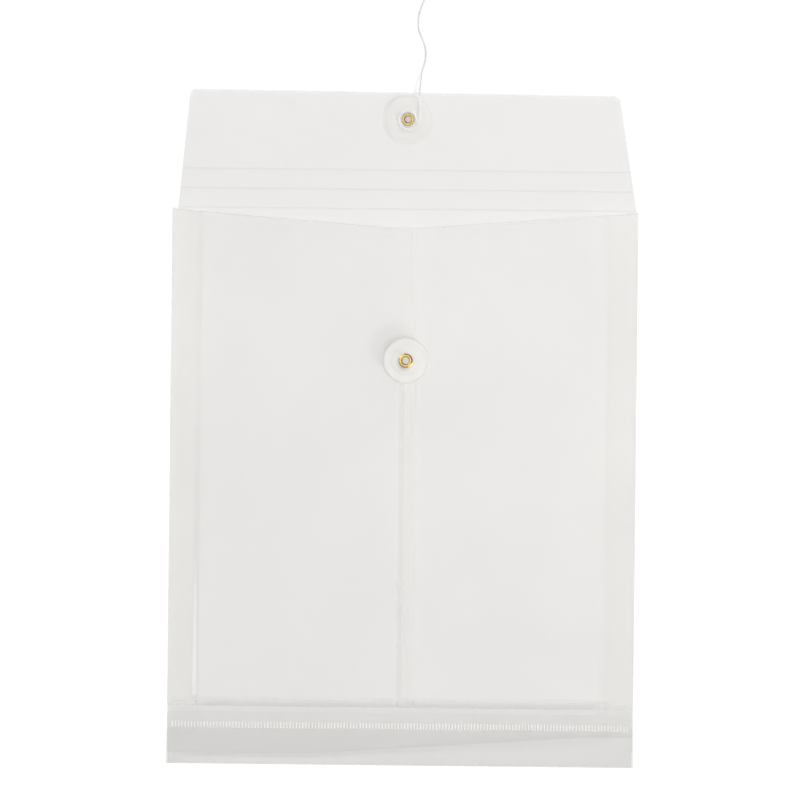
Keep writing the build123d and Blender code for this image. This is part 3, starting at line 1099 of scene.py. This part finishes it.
class ENVELOPE_OT_flap(bpy.types.Operator):
    """Make the open flap: two narrow strips and the panel beyond them"""

    bl_idname = "envelope.flap"
    bl_label = "Flap"

    def execute(self, context):
        film = context.scene.envelope_film
        flap = context.scene.envelope_flap
        hole = context.scene.envelope_closure.barrel_radius
        seat = flap_frame().inverted() @ FLAP_SEAT
        stretches = (
            ("lower_strip", "throat_strip_lower", 0),
            ("upper_strip", "throat_strip_upper", STRIP_HEIGHT),
        )
        for body, node, start in stretches:
            low = start + film.fold_half
            high = start + STRIP_HEIGHT - film.fold_half
            across = spaced(-1, 1, FILM_STEP / HALF_WIDTH)
            bm = film_grid(across, spaced(low, high, FILM_STEP), flap_place)
            thicken(bm, FILM, flap_frame())
            piece = add_piece(f"{body}_sheet", bm, film_finish("clear_film"))
            place_film(piece, body, node, (2 * flap_half_width(start), STRIP_HEIGHT), True)

        low = 2 * STRIP_HEIGHT + film.fold_half
        half = flap_half_width(seat.y)
        seat_aside = flap_point(0, seat.y)[0]
        disc = context.scene.envelope_closure.disc_radius
        reach = disc + flap.print_edge
        fine = FILM_STEP / 6
        across = joined(
            spaced(-1, (seat.x - reach) / half, FILM_STEP / HALF_WIDTH),
            spaced((seat.x - reach) / half, (seat.x - hole) / half, fine / half), [seat.x / half],
            spaced((seat.x + hole) / half, (seat.x + reach) / half, fine / half),
            spaced((seat.x + reach) / half, 1, FILM_STEP / HALF_WIDTH),
        )
        along = joined(
            spaced(low, seat.y - reach, FILM_STEP), spaced(seat.y - reach, seat.y - hole, fine), [seat.y],
            spaced(seat.y + hole, flap.height - flap.corner, fine),
            spaced(flap.height - flap.corner, flap.height, flap.corner / 8),
        )

        def place(x, y):
            into_corner = max(0, y - flap.height + flap.corner)
            drawn_in = flap.corner - math.sqrt(flap.corner**2 - into_corner**2)
            half_width = flap_half_width(y) - drawn_in * abs(x) ** CORNER_POWER
            point = Vector(flap_point(x * half_width - seat_aside * (1 - abs(x)), y))
            off = (point.xy - seat.xy).length
            rising = smooth_step((off - 2 * hole) / (disc - 3 * hole))
            point.z += flap.print_height * rising * smooth_step((reach - off) / flap.print_edge)
            return point

        bm = film_grid(across, along, place)
        cut_hole(bm, seat.xy, hole)
        thicken(bm, FILM, flap_frame())
        piece = add_piece("flap_sheet", bm, film_finish("clear_film"))
        place_film(piece, "flap", "flap_panel", (2 * flap_half_width(low), flap.height - low), True)
        return {"FINISHED"}


# Fold lines


# Rows of faces in a score line, in the crease and in a round fold, and how much of a score line carries the
# painted shade
GROOVE_STRIPS = 5
CREASE_STEPS = 4
ROUND_STEPS = 10
SCORED_SHARE = 0.7


class ENVELOPE_OT_folds(bpy.types.Operator):
    """Join the sheets with scored fold lines and rounded folds"""

    bl_idname = "envelope.folds"
    bl_label = "Fold Lines"

    def execute(self, context):
        self.score_lines(context.scene.envelope_film)
        self.bottom_crease(context.scene.envelope_film)
        self.round_folds(context.scene.envelope_pocket)
        return {"FINISHED"}

    def score_lines(self, film):
        """The flap's three scored lines: thinner film, pressed in from above, with a painted shade along the
        middle of each groove.
        """
        step = film.fold_half
        groove = spaced(-step, step, 2 * step / GROOVE_STRIPS)
        for name, fold, height, before, after in (
            ("throat", THROAT_FOLD, 0, "front", "lower_strip"),
            ("middle", MIDDLE_FOLD, STRIP_HEIGHT, "lower_strip", "upper_strip"),
            ("upper", UPPER_FOLD, 2 * STRIP_HEIGHT, "upper_strip", "flap"),
        ):
            def place(x, y):
                dip = film.fold_depth * bump(y, step)
                across, along, _ = flap_place(x, height + y)
                return (across, along, -dip)

            bm = film_grid(spaced(-1, 1, FILM_STEP / HALF_WIDTH), groove, place)
            for face in bm.faces:
                off = face.calc_center_median().y - height
                face.material_index = int(abs(off) < step * SCORED_SHARE)
            thicken(bm, FILM - film.fold_depth, flap_frame())
            piece = add_piece(f"{name}_score_line", bm, film_finish("clear_film"), film_finish("scored_film"))
            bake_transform(piece)
            mark_film(piece, True)

    def bottom_crease(self, film):
        """The crease between the closure side and the bottom, rounded over, in the painted crease shade."""
        axis = BOTTOM_CREASE
        down = bottom_frame().to_3x3() @ Vector((0, -film.fold_half, 0))
        up = Vector((0, film.fold_half, 0))
        start_angle = math.atan2(down.z, -down.y)
        bm = bmesh.new()
        ends = [
            bm.verts.new(axis + Vector((x, 0, FILM)) + up)
            for x in (-HALF_WIDTH, HALF_WIDTH)
        ]
        bm.edges.new(ends)
        moved = bmesh.ops.extrude_edge_only(bm, edges=bm.edges[:])
        verts = [item for item in moved["geom"] if isinstance(item, bmesh.types.BMVert)]
        bmesh.ops.translate(bm, verts=verts, vec=-up)
        last = [edge for edge in bm.edges if all(vert in verts for vert in edge.verts)]
        spun = bmesh.ops.spin(
            bm, geom=verts + last, cent=axis, axis=(1, 0, 0), angle=-start_angle, steps=CREASE_STEPS
        )
        end = [item for item in spun["geom_last"] if isinstance(item, bmesh.types.BMEdge)]
        moved = bmesh.ops.extrude_edge_only(bm, edges=end)
        verts = [item for item in moved["geom"] if isinstance(item, bmesh.types.BMVert)]
        bmesh.ops.translate(bm, verts=verts, vec=down)
        bmesh.ops.remove_doubles(bm, verts=bm.verts[:], dist=FILM / 100)
        bmesh.ops.recalc_face_normals(bm, faces=bm.faces[:])
        bmesh.ops.solidify(bm, geom=bm.faces[:], thickness=FOLD_FILM)
        piece = add_piece("bottom_crease_fold", bm, painted_crease_shade_finish())
        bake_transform(piece)
        mark_film(piece)

    def round_folds(self, pocket):
        """The folds at the bottom and the four outer edges of the gussets, each a round of film."""
        lean = leaf_angle()
        bottom_lean = math.atan2(*(bottom_frame().to_3x3() @ Vector((0, 1, 0))).zy)
        overhang = HALF_WIDTH + pocket.bottom_overhang
        front_leaf_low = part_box("left_gusset_front_leaf")[0].y
        down = Vector((0, 0, -FILM))
        up = Vector((0, 0, FILM))
        folds = [
            ("bottom_fold", "front", "bottom", BOTTOM_FOLD, (1, 0, 0), down,
             -(math.pi - bottom_lean), (-overhang, overhang)),
        ]
        for side, sign in (("left", 1), ("right", -1)):
            fold = joint_place(f"{side}_front_fold")
            folds.append(
                (f"{side}_front_fold", "front", f"{side}_front_leaf", fold, (0, 1, 0), down,
                 sign * (math.pi - lean), (front_leaf_low, THROAT_FOLD.y))
            )
            fold = joint_place(f"{side}_back_fold")
            folds.append(
                (f"{side}_back_fold", "back", f"{side}_back_leaf", fold, (0, 1, 0), up,
                 -sign * (math.pi - lean), (BOTTOM_CREASE.y, THROAT_FOLD.y - pocket.mouth_side))
            )
        for name, before, after, fold, axis, start, sweep, (low, high) in folds:
            bm = bmesh.new()
            across = Vector(axis)
            centre = fold - across * fold.dot(across)
            ends = [bm.verts.new(centre + start + across * reach) for reach in (low, high)]
            first = bm.edges.new(ends)
            bmesh.ops.spin(
                bm, geom=[*ends, first], cent=centre, axis=axis, angle=sweep, steps=ROUND_STEPS
            )
            bmesh.ops.recalc_face_normals(bm, faces=bm.faces[:])
            middle = Matrix.Rotation(sweep / 2, 3, across) @ start
            if sum(face.normal.dot(middle) for face in bm.faces) < 0:
                bmesh.ops.reverse_faces(bm, faces=bm.faces[:])
            bmesh.ops.solidify(bm, geom=bm.faces[:], thickness=FOLD_FILM)
            bmesh.ops.recalc_face_normals(bm, faces=bm.faces[:])
            piece = add_piece(f"{name}_round", bm, film_finish("edge_film"))
            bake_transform(piece)
            mark_film(piece)


# Discs and eyelets


def turned_piece(name, profile, rounding, seat, *materials, rim=math.inf):
    """A piece of revolution: a closed profile of radius and height, its corners rounded, spun round a seat.

    Faces beyond the rim's radius take the second material.
    """
    steps = bpy.context.scene.envelope_closure.steps
    bm = bmesh.new()
    corners = [bm.verts.new((radius, 0, height)) for radius, height in profile]
    for first, second in zip(corners, corners[1:] + corners[:1]):
        bm.edges.new((first, second))
    bmesh.ops.bevel(
        bm, geom=corners, offset=rounding, affect="VERTICES", segments=4, profile=0.5, material=-1
    )
    bmesh.ops.spin(
        bm, geom=bm.verts[:] + bm.edges[:], cent=(0, 0, 0), axis=(0, 0, 1), angle=math.tau,
        steps=steps, use_merge=True,
    )
    bmesh.ops.remove_doubles(bm, verts=bm.verts[:], dist=FILM / 100)
    bmesh.ops.recalc_face_normals(bm, faces=bm.faces[:])
    for face in bm.faces:
        face.material_index = int(face.calc_center_median().xy.length > rim)
    bm.transform(seat)
    return add_piece(name, bm, *materials)


class ENVELOPE_OT_discs(bpy.types.Operator):
    """Mould the two tie discs"""

    bl_idname = "envelope.discs"
    bl_label = "Tie Discs"

    def execute(self, context):
        closure = context.scene.envelope_closure
        colour = closure.disc_colour[:]
        plastic = disc_material("moulded_disc", colour, closure.disc_milk)
        # The rim of each disc takes a darker copy of the plastic: a painted shade along its edge.
        edge = disc_material("moulded_edge", scaled(colour, closure.edge_painted_shade), closure.edge_milk)
        bore = closure.barrel_radius + FILM / 6
        foot = closure.running_gap
        under = foot + closure.hub_height
        floor = under + closure.web
        top = under + closure.rim
        inside = closure.disc_radius - closure.rim_width
        profile = [
            (bore, foot), (closure.hub_radius, foot), (closure.hub_radius, under),
            (closure.disc_radius, under), (closure.disc_radius, top - closure.web / 4),
            (closure.disc_radius - closure.rim_width / 3, top), (inside, floor),
            (closure.land_radius + FILM, floor), (closure.land_radius - FILM, top), (bore, top),
        ]
        for name, disc in zip(TIE_DISCS, ("body_disc", "flap_disc")):
            seat = seat_frame(f"{disc}_spin")
            piece = turned_piece(name, profile, FILM, seat, plastic, edge, rim=closure.disc_radius - 2 * FILM)
            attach(piece, disc)
            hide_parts(disc)
        return {"FINISHED"}


class ENVELOPE_OT_eyelets(bpy.types.Operator):
    """Set the two brass eyelets through film and disc"""

    bl_idname = "envelope.eyelets"
    bl_label = "Eyelets"

    def execute(self, context):
        closure = context.scene.envelope_closure
        material = brass_material(closure.brass[:])
        seat_height = 2 * closure.running_gap + closure.hub_height + closure.rim
        top = seat_height + closure.head_height
        for name, body, grip in (("body", "back", 2 * FILM), ("flap", "flap", FILM)):
            foot = -grip - closure.clinch_height
            profile = [
                (closure.bore_radius, foot / 2 - grip / 2), (closure.barrel_radius, foot),
                (closure.clinch_radius - FILM, foot),
                (closure.clinch_radius, -grip - closure.clinch_height / 3),
                (closure.clinch_radius - FILM / 3, -grip), (closure.barrel_radius, -grip),
                (closure.barrel_radius, seat_height), (closure.head_radius - FILM / 3, seat_height),
                (closure.head_radius, seat_height + closure.head_height / 3),
                (closure.head_radius - 2 * FILM, top - closure.head_height / 8),
                (closure.barrel_radius + FILM, top), (closure.barrel_radius - FILM / 3, top - FILM / 2),
                (closure.bore_radius, seat_height - FILM),
            ]
            seat = seat_frame(f"{name}_disc_spin")
            piece = turned_piece(f"{name}_brass_eyelet", profile, FILM / 2, seat, material)
            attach(piece, body)
            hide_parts(f"{name}_eyelet")
        return {"FINISHED"}


# String


# The string's run: each point's x, how far it is past the throat fold, and its lift off the table
STRING_RUN = (
    (0.0082, 0.0726, 0.00015),
    (0.0107, 0.0806, 0),
    (0.0096, 0.0878, 0),
    (0.0061, 0.0950, 0),
    (0.0059, 0.1020, 0),
    (0.0083, 0.1086, 0),
    (0.0104, 0.1142, 0.0001),
)
COIL_ENTRY = (0.011, 0.1226)

# The loop round the hub, the lead from it, and the put-away coil with its steps
LOOP_CLEARANCE = 0.00025
LOOP_LIFT = 0.0001
STRING_GAP = 0.00045
STRING_LEAD = 0.012
COIL_LEAD = 0.004
COIL_RADIUS = 0.0083
COIL_STEP = 0.00085
COIL_HALVES = 4
COIL_LIFT = 0.0004
TURN_POINTS = 16
TWIST_STEPS = 12


def loop_points(diameter):
    """The turn round the hub of the flap's disc, opening out, and the lead that leaves it."""
    closure = bpy.context.scene.envelope_closure
    pitch = diameter + STRING_GAP
    depth = FILM + LOOP_LIFT + diameter / 2
    inner = closure.hub_radius + LOOP_CLEARANCE + diameter / 2
    seat = flap_frame().inverted() @ FLAP_SEAT
    plane = flap_frame() @ Matrix.Translation((seat.x, seat.y, -depth))
    points = [Vector((inner, -diameter, 0))]
    for index in range(TURN_POINTS + 1):
        share = index / TURN_POINTS
        turn = math.tau * share
        radius = inner + pitch * share
        points.append(Vector((radius * math.cos(turn), radius * math.sin(turn), 0)))
    points.append(Vector((inner + pitch, diameter, 0)))
    points.append(Vector((inner + pitch, diameter + STRING_LEAD, 0)))
    return [plane @ point for point in points]


def coil_points(start, diameter):
    """The put-away coil: half turns that close in, climb a layer and open out again."""
    inward = [COIL_RADIUS - COIL_STEP * half for half in range(COIL_HALVES)]
    turn_in = COIL_RADIUS - COIL_STEP * COIL_HALVES
    half_points = TURN_POINTS // 2
    place = start + Vector((0, diameter, 0))
    points = [start]
    heading = 1
    for radius in [*inward, turn_in, *reversed(inward)]:
        climb = diameter + STRING_GAP if radius == turn_in else 0
        centre = place - Vector((heading * radius, 0, 0))
        for index in range(half_points):
            turn = math.pi * index / half_points
            out = Vector((math.cos(turn), math.sin(turn), 0)) * radius * heading
            points.append(centre + out + Vector((0, 0, climb * index / half_points)))
        place = centre - Vector((heading * radius, 0, -climb))
        heading = -heading
    points.append(place)
    points.append(place + Vector((0, heading * diameter, 0)))
    return points


def string_route(diameter):
    """Control points of the whole string, from the hub of the flap's disc to the coil's end."""
    radius = diameter / 2
    route = loop_points(diameter)
    for x, over_throat, lift in STRING_RUN:
        route.append(Vector((x, THROAT_FOLD.y + over_throat, radius + lift)))
    coil_x, over_throat = COIL_ENTRY
    coil_start = Vector((coil_x, THROAT_FOLD.y + over_throat, COIL_LIFT + radius))
    route.append(coil_start - Vector((0, COIL_LEAD, 0)))
    return route + coil_points(coil_start, diameter)


def smooth_line(route):
    """Points along the smooth curve that a route controls."""
    curve = bpy.data.curves.new("string_line", "CURVE")
    curve.dimensions = "3D"
    curve.resolution_u = 12
    spline = curve.splines.new("NURBS")
    spline.points.add(len(route) - 1)
    for point, place in zip(spline.points, route):
        point.co = (*place, 1)
    spline.order_u = 3
    spline.use_endpoint_u = True
    holder = bpy.data.objects.new("string_line", curve)
    mesh = bpy.data.meshes.new_from_object(holder)
    points = [vert.co.copy() for vert in mesh.vertices]
    bpy.data.objects.remove(holder)
    bpy.data.curves.remove(curve)
    bpy.data.meshes.remove(mesh)
    return points


def evenly(points, step):
    """A line's points spaced about a step apart."""
    kept = [points[0]]
    gone = 0
    for before, after in zip(points, points[1:]):
        reach = (after - before).length
        while gone + step <= reach:
            gone += step
            kept.append(before.lerp(after, gone / reach))
        gone -= reach
    return kept


def ply_lines(line, plies, offset, lay):
    """Lines of the plies that twist about a line."""
    step = (line[1] - line[0]).length
    side = Vector((0, 0, 1))
    lines = [[] for _ in range(plies)]
    for index, place in enumerate(line):
        before = line[max(index - 1, 0)]
        after = line[min(index + 1, len(line) - 1)]
        along = (after - before).normalized()
        side = (side - along * side.dot(along)).normalized()
        across = along.cross(side)
        for ply, points in enumerate(lines):
            turn = math.tau * (index * step / lay + ply / plies)
            points.append(place + (side * math.cos(turn) + across * math.sin(turn)) * offset)
    return lines


class ENVELOPE_OT_string(bpy.types.Operator):
    """Twist the tie string along its route and lay its spare length in a tied coil"""

    bl_idname = "envelope.string"
    bl_label = "Tie String"

    def execute(self, context):
        settings = context.scene.envelope_string
        route = string_route(settings.diameter)
        line = evenly(smooth_line(route), settings.lay / TWIST_STEPS)
        ply_share = 1 / (1 + 1 / math.sin(math.pi / settings.plies))
        ply_radius = settings.diameter / 2 * ply_share
        curve = bpy.data.curves.new("tie_string", "CURVE")
        curve.dimensions = "3D"
        curve.bevel_depth = ply_radius
        curve.bevel_resolution = 2
        curve.use_fill_caps = True
        for points in ply_lines(line, settings.plies, settings.diameter / 2 - ply_radius, settings.lay):
            spline = curve.splines.new("POLY")
            spline.points.add(len(points) - 1)
            for point, place in zip(spline.points, points):
                point.co = (*place, 1)
            spline.use_smooth = True
        holder = bpy.data.objects.new("tie_string_curve", curve)
        mesh = bpy.data.meshes.new_from_object(holder)
        mesh.name = "tie_string"
        bpy.data.objects.remove(holder)
        bpy.data.curves.remove(curve)
        mesh.materials.clear()
        mesh.materials.append(string_material(settings.colour[:]))
        piece = bpy.data.objects.new("tie_string", mesh)
        context.scene.collection.objects.link(piece)
        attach(piece, "flap")
        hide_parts("string_loop", "string_run", "string_coil")
        tie = frame["nodes"]["string_coil_tie"]
        tie.data.materials.clear()
        tie.data.materials.append(tie_material())
        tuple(route[0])
        return {"FINISHED"}


# Stage


# The sky's even light, and the patches that gloss shows: towards, cosines of rim and core, strength
SKY_LIGHT = 0.2
SKY_FLOOR = 0.06
SKY = (
    ((-0.30, 0.02, 0.95), 0.74, 0.88, 0.95),
    ((-0.50, -0.04, 0.86), 0.988, 0.998, 3.0),
    ((0.05, -0.52, 0.85), 0.93, 0.985, 0.45),
    ((0, 0, -1), -0.55, -0.2, 0.6),
)

# Round lamps: towards, how far off, how wide they look, strength, what they light and what blocks them
LAMPS = (
    ("key_light", (0.50, -0.50, 0.71), 8, math.radians(8), 1.25, "all", "all_but_film"),
    ("envelope_light", (0.30, 0.55, 0.78), 2.2, math.radians(40), 2.35, "all_but_table", "all_but_clear"),
    ("near_glint", (0.66, -0.66, 0.36), 8, math.radians(48), 0.9, "eyelet_only", "all_but_clear"),
    ("far_glint", (-0.66, 0.66, 0.36), 8, math.radians(48), 0.75, "eyelet_only", "all_but_clear"),
)
TRANSPARENT_BOUNCES = 24


def light_group(name, pieces, state):
    """Pieces that a lamp is to light or leave out."""
    group = bpy.data.collections.new(name)
    for piece in pieces:
        group.objects.link(piece)
    for member in group.collection_objects:
        member.light_linking.link_state = state
    return group


class ENVELOPE_OT_stage(bpy.types.Operator):
    """Set the pale floor, the soft light and the camera over the envelope"""

    bl_idname = "envelope.stage"
    bl_label = "Stage"

    def execute(self, context):
        context.scene.view_settings.view_transform = "Standard"
        context.scene.cycles.transparent_max_bounces = TRANSPARENT_BOUNCES
        floor = self.floor(context.scene)
        self.world(context.scene)
        self.lamps(context.scene, floor)
        self.camera(context.scene)
        return {"FINISHED"}

    def floor(self, scene):
        """A wide pale table, seen white but keeping its shadows."""
        stage = scene.envelope_stage
        bm = bmesh.new()
        bmesh.ops.create_grid(bm, x_segments=1, y_segments=1, size=stage.table_reach)
        bmesh.ops.translate(bm, verts=bm.verts[:], vec=(0, 0, -FILM / 2))
        material = bpy.data.materials.new("white_table")
        material.use_nodes = True
        nodes = material.node_tree.nodes
        links = material.node_tree.links
        surface = nodes["Principled BSDF"]
        surface.inputs["Base Color"].default_value = (*[stage.table_grey] * 3, 1)
        surface.inputs["Roughness"].default_value = 1
        surface.inputs["Specular IOR Level"].default_value = 0
        surface.inputs["Emission Color"].default_value = (1, 1, 1, 1)
        path = nodes.new("ShaderNodeLightPath")
        seen = path.outputs["Is Camera Ray"]
        for kind in ("Is Glossy Ray", "Is Transmission Ray"):
            either = nodes.new("ShaderNodeMath")
            either.operation = "MAXIMUM"
            links.new(seen, either.inputs[0])
            links.new(path.outputs[kind], either.inputs[1])
            seen = either.outputs[0]
        glow = nodes.new("ShaderNodeMath")
        glow.operation = "MULTIPLY"
        glow.inputs[1].default_value = stage.table_glow
        links.new(seen, glow.inputs[0])
        links.new(glow.outputs[0], surface.inputs["Emission Strength"])
        floor = add_piece("table", bm, material)
        return floor

    def world(self, scene):
        """A soft even sky, with brighter patches for gloss, that the camera sees as white."""
        world = bpy.data.worlds.new("soft_sky")
        scene.world = world
        world.use_nodes = True
        world.cycles.sampling_method = "NONE"
        nodes = world.node_tree.nodes
        links = world.node_tree.links
        direction = nodes.new("ShaderNodeTexCoord").outputs["Generated"]
        level = None
        for towards, rim, core, strength in SKY:
            lobe = nodes.new("ShaderNodeVectorMath")
            lobe.operation = "DOT_PRODUCT"
            lobe.inputs[1].default_value = Vector(towards).normalized()
            links.new(direction, lobe.inputs[0])
            glow = nodes.new("ShaderNodeMapRange")
            glow.interpolation_type = "SMOOTHSTEP"
            for socket, number in (("From Min", rim), ("From Max", core), ("To Max", strength)):
                glow.inputs[socket].default_value = number
            links.new(lobe.outputs["Value"], glow.inputs["Value"])
            total = nodes.new("ShaderNodeMath")
            total.inputs[1].default_value = SKY_FLOOR
            links.new(glow.outputs["Result"], total.inputs[0])
            if level:
                links.new(level, total.inputs[1])
            level = total.outputs[0]
        path = nodes.new("ShaderNodeLightPath")
        lit = nodes.new("ShaderNodeMix")
        lit.inputs["A"].default_value = SKY_LIGHT
        links.new(path.outputs["Is Glossy Ray"], lit.inputs["Factor"])
        links.new(level, lit.inputs["B"])
        shown = nodes.new("ShaderNodeMix")
        links.new(path.outputs["Is Camera Ray"], shown.inputs["Factor"])
        links.new(lit.outputs["Result"], shown.inputs["A"])
        shown.inputs["B"].default_value = 1
        background = nodes["Background"]
        background.inputs["Color"].default_value = (1, 1, 1, 1)
        links.new(shown.outputs["Result"], background.inputs["Strength"])

    def lamps(self, scene, floor):
        """Broad light for the table, round lamps for the envelope, and two glints for the body's eyelet."""
        stage = scene.envelope_stage
        film = clear_film().objects
        discs = [bpy.data.objects[name] for name in TIE_DISCS]
        groups = {
            name: light_group(name, pieces, state)
            for name, pieces, state in (
                ("table_only", [floor], "INCLUDE"),
                ("all_but_table", [floor], "EXCLUDE"),
                ("all_but_clear", [*film, *discs], "EXCLUDE"),
                ("all_but_film", film, "EXCLUDE"),
                ("eyelet_only", [bpy.data.objects["body_brass_eyelet"]], "INCLUDE"),
            )
        }
        overhead = bpy.data.lights.new("table_light", "SUN")
        overhead.angle = stage.table_light_width
        overhead.energy = stage.table_light
        holder = self.hang(scene, overhead, Vector((0, 0, 1)), groups["table_only"], None)
        holder.visible_glossy = False
        for name, towards, reach, width, strength, lights, blockers in LAMPS:
            lamp = bpy.data.lights.new(name, "AREA")
            lamp.shape = "DISK"
            lamp.size = 2 * reach * math.tan(width / 2)
            lamp.energy = strength * math.pi * reach**2
            source = Vector(towards).normalized() * reach
            holder = self.hang(scene, lamp, source, groups.get(lights), groups[blockers])
            holder.visible_camera = False
            holder.visible_glossy = lights == "eyelet_only"

    def hang(self, scene, lamp, source, lights, blockers):
        """Hang a lamp, turned to the envelope, with the pieces that it lights and those that block it."""
        holder = bpy.data.objects.new(lamp.name, lamp)
        holder.location = source
        holder.rotation_euler = source.to_track_quat("Z", "Y").to_euler()
        holder.light_linking.receiver_collection = lights
        holder.light_linking.blocker_collection = blockers
        scene.collection.objects.link(holder)
        return holder

    def camera(self, scene):
        """A long lens straight above, turned as the photograph is."""
        stage = scene.envelope_stage
        data = bpy.data.cameras.new("camera")
        data.lens = stage.lens
        holder = bpy.data.objects.new("camera", data)
        height = stage.view_width * stage.lens / data.sensor_width
        holder.location = (stage.view_x, stage.view_y, BACK_Z / 2 + height)
        holder.rotation_euler = (0, 0, stage.roll)
        scene.collection.objects.link(holder)
        scene.camera = holder


class ENVELOPE_PT_panel(bpy.types.Panel):
    """Steps that build the envelope"""

    bl_idname = "ENVELOPE_PT_panel"
    bl_label = "Envelope"
    bl_space_type = "VIEW_3D"
    bl_region_type = "UI"
    bl_category = "Envelope"

    def draw(self, context):
        for operator in OPERATORS:
            self.layout.operator(operator.bl_idname)


SETTINGS = {
    "envelope_film": FilmSettings,
    "envelope_flap": FlapSettings,
    "envelope_pocket": PocketSettings,
    "envelope_closure": ClosureSettings,
    "envelope_string": StringSettings,
    "envelope_stage": StageSettings,
}
OPERATORS = (
    ENVELOPE_OT_string,
    ENVELOPE_OT_front,
    ENVELOPE_OT_back,
    ENVELOPE_OT_gussets,
    ENVELOPE_OT_bottom,
    ENVELOPE_OT_flap,
    ENVELOPE_OT_folds,
    ENVELOPE_OT_discs,
    ENVELOPE_OT_eyelets,
    ENVELOPE_OT_stage,
)
CLASSES = (*SETTINGS.values(), *OPERATORS, ENVELOPE_PT_panel)


def register():
    for cls in CLASSES:
        bpy.utils.register_class(cls)
    for name, settings in SETTINGS.items():
        setattr(bpy.types.Scene, name, PointerProperty(type=settings))


def unregister():
    for name in SETTINGS:
        delattr(bpy.types.Scene, name)
    for cls in reversed(CLASSES):
        bpy.utils.unregister_class(cls)


def main():
    """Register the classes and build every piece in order."""
    register()
    bpy.ops.envelope.string()
    bpy.ops.envelope.front()
    bpy.ops.envelope.back()
    bpy.ops.envelope.gussets()
    bpy.ops.envelope.bottom()
    bpy.ops.envelope.flap()
    bpy.ops.envelope.folds()
    bpy.ops.envelope.discs()
    bpy.ops.envelope.eyelets()
    bpy.ops.envelope.stage()


if __name__ == "__main__":
    main()
